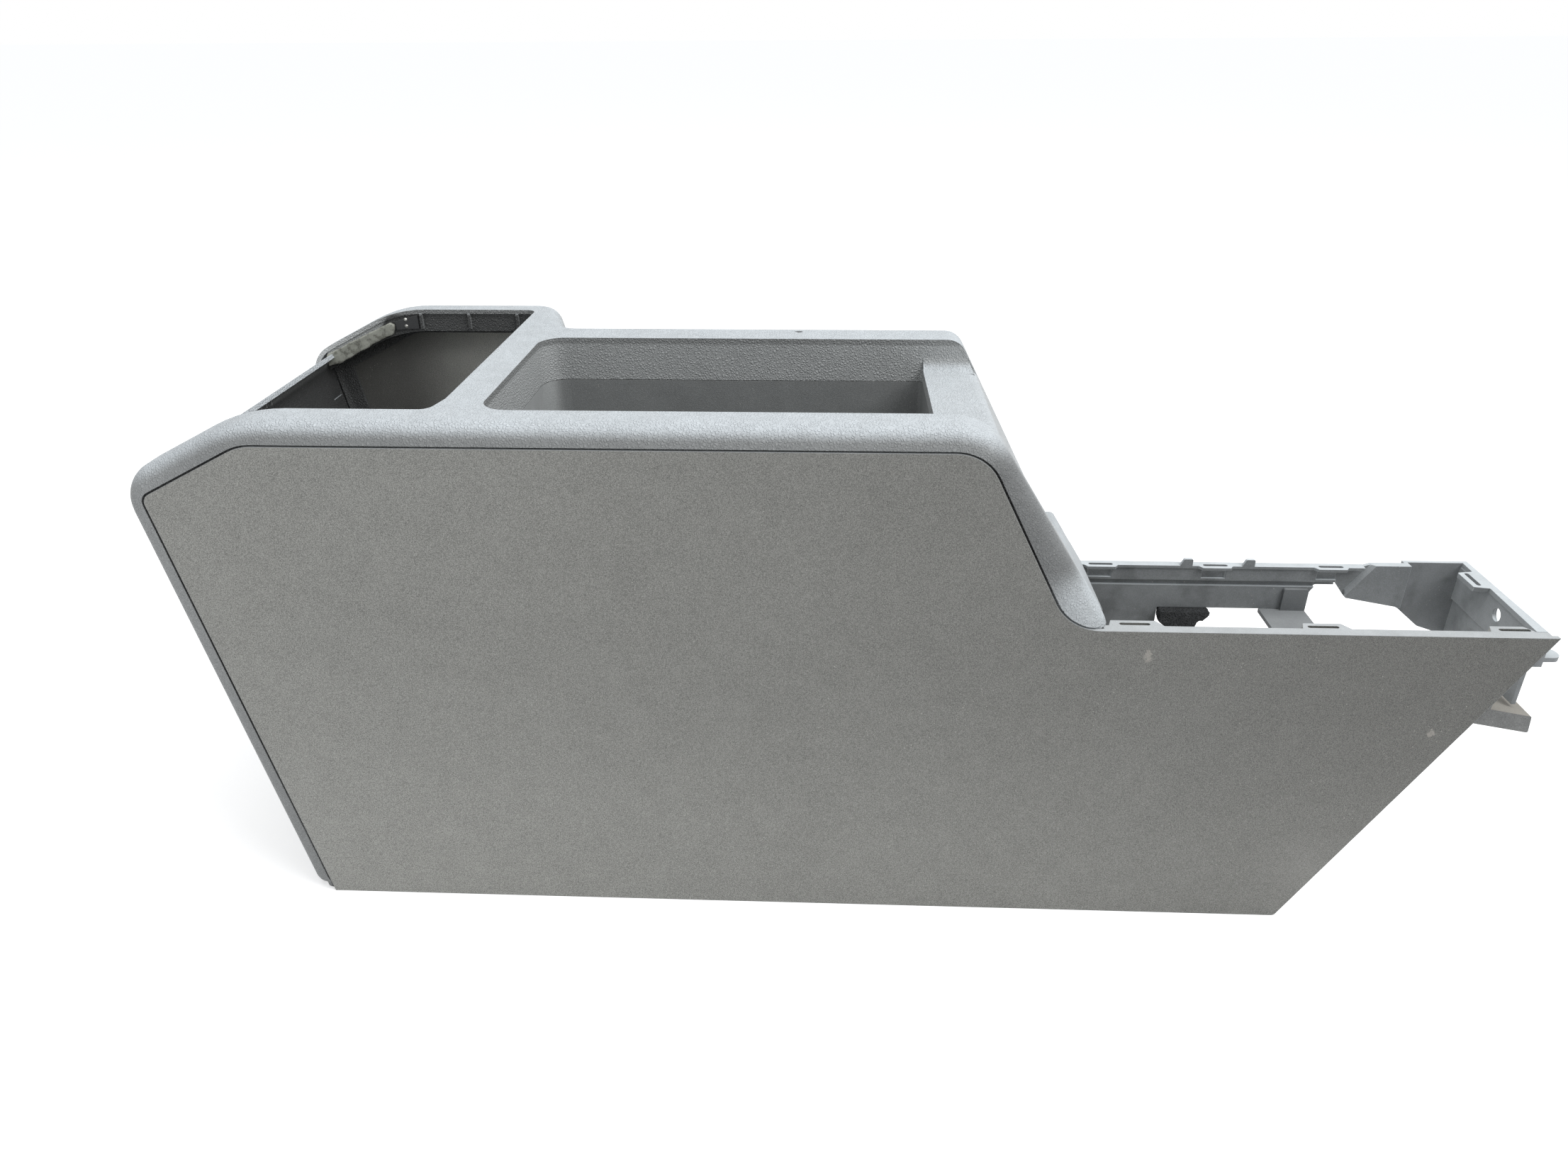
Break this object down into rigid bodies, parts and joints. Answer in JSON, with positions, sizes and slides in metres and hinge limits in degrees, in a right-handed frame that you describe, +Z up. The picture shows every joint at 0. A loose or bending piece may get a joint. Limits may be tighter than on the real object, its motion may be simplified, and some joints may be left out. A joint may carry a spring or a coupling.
{
  "type": "tunnel console",
  "caption": "Grey plastic centre console for a van's floor tunnel, stripped of its lids, with a storage bin, a wide rear opening and an open slotted channel in front.",
  "frame": {"origin": "middle of the outer box, on the floor", "axes": "+X to the front of the vehicle, along the console's length; +Y to the stepped driver side; +Z up"},
  "size_m": [0.7952, 0.2754, 0.323],
  "materials": {
    "cover_plastic": "grained, satin",
    "panel_plastic": "fine grain, matt",
    "tub_plastic": "matt, dusty",
    "frame_plastic": "smooth moulded",
    "dark_plastic": "smooth moulded",
    "felt": "pressed felt",
    "foam_rubber": "open foam",
    "bright_steel": "plain",
    "zinc_steel": "zinc plated"
  },
  "bodies": {
    "root": {"upper_cover": "cover_plastic", "passenger_side_panel": "panel_plastic", "driver_side_panel": "panel_plastic", "rear_panel": "panel_plastic", "bin_tub": "tub_plastic", "channel_rail": "frame_plastic", "front_frame": "frame_plastic", "foot_bracket": "frame_plastic", "channel_strap": "dark_plastic", "apron_plate": "cover_plastic", "felt_strip": "felt", "latch_plate": "dark_plastic", "latch_rivets": "bright_steel", "foam_pad": "foam_rubber", "trim_screws": "zinc_steel"}
  },
  "joints": []
}
